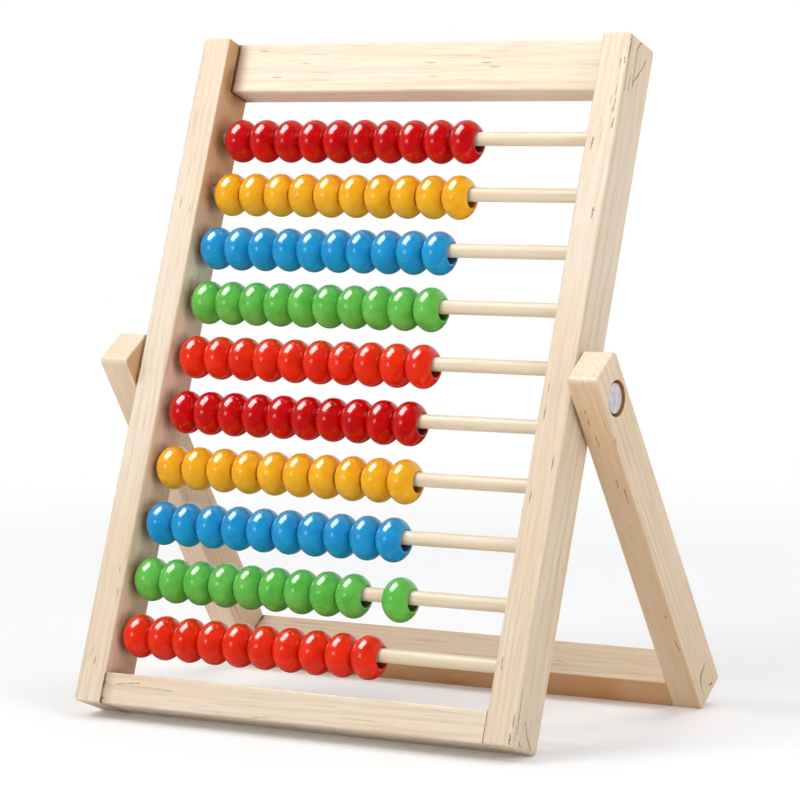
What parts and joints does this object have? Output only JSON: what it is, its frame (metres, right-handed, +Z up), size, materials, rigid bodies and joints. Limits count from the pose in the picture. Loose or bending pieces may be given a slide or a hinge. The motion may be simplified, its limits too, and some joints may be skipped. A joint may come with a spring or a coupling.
{
  "type": "abacus",
  "caption": "Child's wooden abacus: a leaning frame of level rods with sliding coloured beads, on a U-shaped stand that folds flat.",
  "frame": {"origin": "on the ground under the middle of the standing object: the bottom centre of its box", "axes": "+X to the user's right along the rods, +Y away from the user from the frame to the stand's foot, +Z up"},
  "size_m": [0.2426, 0.1584, 0.2874],
  "materials": {
    "frame_wood": "pale clear-lacquered softwood, satin",
    "stand_wood": "pale clear-lacquered softwood, satin",
    "rod_wood": "plain birch dowel, matt",
    "bead_red": "gloss lacquer over turned wood",
    "bead_yellow": "gloss lacquer over turned wood",
    "bead_blue": "gloss lacquer over turned wood",
    "bead_green": "gloss lacquer over turned wood",
    "bead_orange": "gloss lacquer over turned wood",
    "pin_steel": "smooth bright-plated steel"
  },
  "bodies": {
    "frame": {"left_stile": "frame_wood", "right_stile": "frame_wood", "bottom_rail": "frame_wood", "top_rail": "frame_wood", "frame_dowels": "rod_wood", "rod_01": "rod_wood", "rod_02": "rod_wood", "rod_03": "rod_wood", "rod_04": "rod_wood", "rod_05": "rod_wood", "rod_06": "rod_wood", "rod_07": "rod_wood", "rod_08": "rod_wood", "rod_09": "rod_wood", "rod_10": "rod_wood", "left_pivot_pin": "pin_steel", "right_pivot_pin": "pin_steel", "left_washer": "pin_steel", "right_washer": "pin_steel"},
    "stand": {"left_leg": "stand_wood", "right_leg": "stand_wood", "stand_crossbar": "stand_wood", "stand_dowels": "rod_wood"},
    "row_01_group": {"beads_row_01": "bead_red"},
    "row_01_end": {"end_bead_row_01": "bead_red"},
    "row_02_group": {"beads_row_02": "bead_yellow"},
    "row_02_end": {"end_bead_row_02": "bead_yellow"},
    "row_03_group": {"beads_row_03": "bead_blue"},
    "row_03_end": {"end_bead_row_03": "bead_blue"},
    "row_04_group": {"beads_row_04": "bead_green"},
    "row_04_end": {"end_bead_row_04": "bead_green"},
    "row_05_group": {"beads_row_05": "bead_orange"},
    "row_05_end": {"end_bead_row_05": "bead_orange"},
    "row_06_group": {"beads_row_06": "bead_red"},
    "row_06_end": {"end_bead_row_06": "bead_red"},
    "row_07_group": {"beads_row_07": "bead_yellow"},
    "row_07_end": {"end_bead_row_07": "bead_yellow"},
    "row_08_group": {"beads_row_08": "bead_blue"},
    "row_08_end": {"end_bead_row_08": "bead_blue"},
    "row_09_group": {"beads_row_09": "bead_green"},
    "row_09_end": {"end_bead_row_09": "bead_green"},
    "row_10_group": {"beads_row_10": "bead_orange"},
    "row_10_end": {"end_bead_row_10": "bead_orange"}
  },
  "joints": [
    {"name": "stand_fold", "type": "hinge", "parent": "frame", "child": "stand", "pos_m": [0, -0.0176, 0.14025], "axis": [1, 0, 0], "range_deg": [-54.28, 117.02]},
    {"name": "row_01_slide", "type": "slide", "parent": "frame", "child": "row_01_group", "axis": [1, 0, 0], "range_m": [-0.0029, 0.05578]},
    {"name": "row_01_end_slide", "type": "slide", "parent": "row_01_group", "child": "row_01_end", "axis": [-1, 0, 0], "range_m": [-0.05578, 0]},
    {"name": "row_02_slide", "type": "slide", "parent": "frame", "child": "row_02_group", "axis": [1, 0, 0], "range_m": [-0.0029, 0.0545]},
    {"name": "row_02_end_slide", "type": "slide", "parent": "row_02_group", "child": "row_02_end", "axis": [-1, 0, 0], "range_m": [-0.0545, 0]},
    {"name": "row_03_slide", "type": "slide", "parent": "frame", "child": "row_03_group", "axis": [1, 0, 0], "range_m": [-0.0009, 0.0593]},
    {"name": "row_03_end_slide", "type": "slide", "parent": "row_03_group", "child": "row_03_end", "axis": [-1, 0, 0], "range_m": [-0.0593, 0]},
    {"name": "row_04_slide", "type": "slide", "parent": "frame", "child": "row_04_group", "axis": [1, 0, 0], "range_m": [-0.0017, 0.0585]},
    {"name": "row_04_end_slide", "type": "slide", "parent": "row_04_group", "child": "row_04_end", "axis": [-1, 0, 0], "range_m": [-0.0585, 0]},
    {"name": "row_05_slide", "type": "slide", "parent": "frame", "child": "row_05_group", "axis": [1, 0, 0], "range_m": [-0.001, 0.05736]},
    {"name": "row_05_end_slide", "type": "slide", "parent": "row_05_group", "child": "row_05_end", "axis": [-1, 0, 0], "range_m": [-0.05736, 0]},
    {"name": "row_06_slide", "type": "slide", "parent": "frame", "child": "row_06_group", "axis": [1, 0, 0], "range_m": [-0.0014, 0.0588]},
    {"name": "row_06_end_slide", "type": "slide", "parent": "row_06_group", "child": "row_06_end", "axis": [-1, 0, 0], "range_m": [-0.0588, 0]},
    {"name": "row_07_slide", "type": "slide", "parent": "frame", "child": "row_07_group", "axis": [1, 0, 0], "range_m": [-0.0006, 0.056]},
    {"name": "row_07_end_slide", "type": "slide", "parent": "row_07_group", "child": "row_07_end", "axis": [-1, 0, 0], "range_m": [-0.056, 0]},
    {"name": "row_08_slide", "type": "slide", "parent": "frame", "child": "row_08_group", "axis": [1, 0, 0], "range_m": [-0.0009, 0.05658]},
    {"name": "row_08_end_slide", "type": "slide", "parent": "row_08_group", "child": "row_08_end", "axis": [-1, 0, 0], "range_m": [-0.05658, 0]},
    {"name": "row_09_slide", "type": "slide", "parent": "frame", "child": "row_09_group", "axis": [1, 0, 0], "range_m": [-0.0005, 0.0484]},
    {"name": "row_09_end_slide", "type": "slide", "parent": "row_09_group", "child": "row_09_end", "axis": [-1, 0, 0], "range_m": [-0.0484, 0.0097]},
    {"name": "row_10_slide", "type": "slide", "parent": "frame", "child": "row_10_group", "axis": [1, 0, 0], "range_m": [-0.0003, 0.05822]},
    {"name": "row_10_end_slide", "type": "slide", "parent": "row_10_group", "child": "row_10_end", "axis": [-1, 0, 0], "range_m": [-0.05822, 0]}
  ]
}
